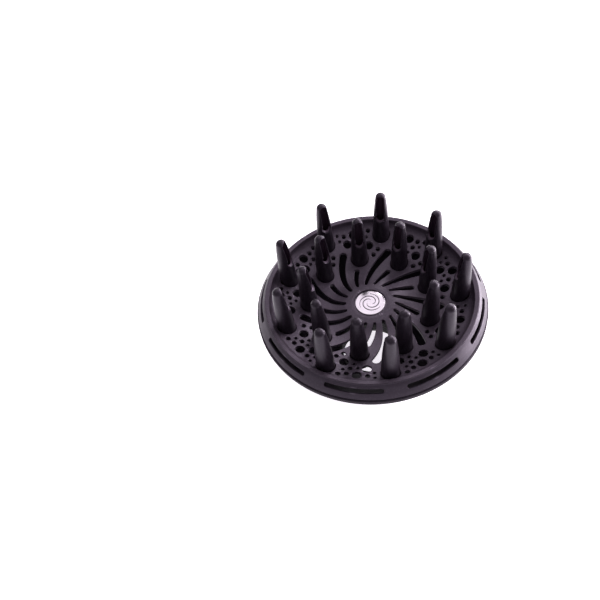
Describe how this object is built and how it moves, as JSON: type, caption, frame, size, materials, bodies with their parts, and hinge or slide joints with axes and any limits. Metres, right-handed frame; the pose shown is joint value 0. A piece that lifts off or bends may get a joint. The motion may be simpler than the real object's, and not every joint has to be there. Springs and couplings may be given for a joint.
{
  "type": "dryer diffuser",
  "caption": "Push-on hair dryer diffuser: a dished plate with a swirl of air slots and two rings of hollow air fingers, on a wide bowl that narrows to a nozzle neck.",
  "frame": {"origin": "centre of the neck's rear face, the lowest plane of the part", "axes": "+Z along the air path, from the neck to the finger tips; +Y towards outer finger 1; +X completes a right-handed frame"},
  "size_m": [0.16, 0.16, 0.1143],
  "materials": {
    "plate_plastic": "matte charcoal, fine moulded texture",
    "rim_plastic": "satin near-black with a soft gloss",
    "shell_plastic": "satin near-black",
    "finger_plastic": "smooth semi-gloss black",
    "collar_rubber": "dull heat-resistant silicone rubber",
    "badge_metal": "polished, crowned",
    "nut_steel": "plain spring steel"
  },
  "bodies": {
    "root": {"front_grille": "plate_plastic", "rim_ring": "rim_plastic", "rear_shell": "shell_plastic", "nozzle_collar": "collar_rubber", "badge_disc": "badge_metal", "badge_push_nut": "nut_steel", "outer_finger_1": "finger_plastic", "outer_finger_2": "finger_plastic", "outer_finger_3": "finger_plastic", "outer_finger_4": "finger_plastic", "outer_finger_5": "finger_plastic", "outer_finger_6": "finger_plastic", "outer_finger_7": "finger_plastic", "outer_finger_8": "finger_plastic", "outer_finger_9": "finger_plastic", "inner_finger_1": "finger_plastic", "inner_finger_2": "finger_plastic", "inner_finger_3": "finger_plastic", "inner_finger_4": "finger_plastic", "inner_finger_5": "finger_plastic", "inner_finger_6": "finger_plastic", "inner_finger_7": "finger_plastic", "inner_finger_8": "finger_plastic", "inner_finger_9": "finger_plastic"}
  },
  "joints": []
}
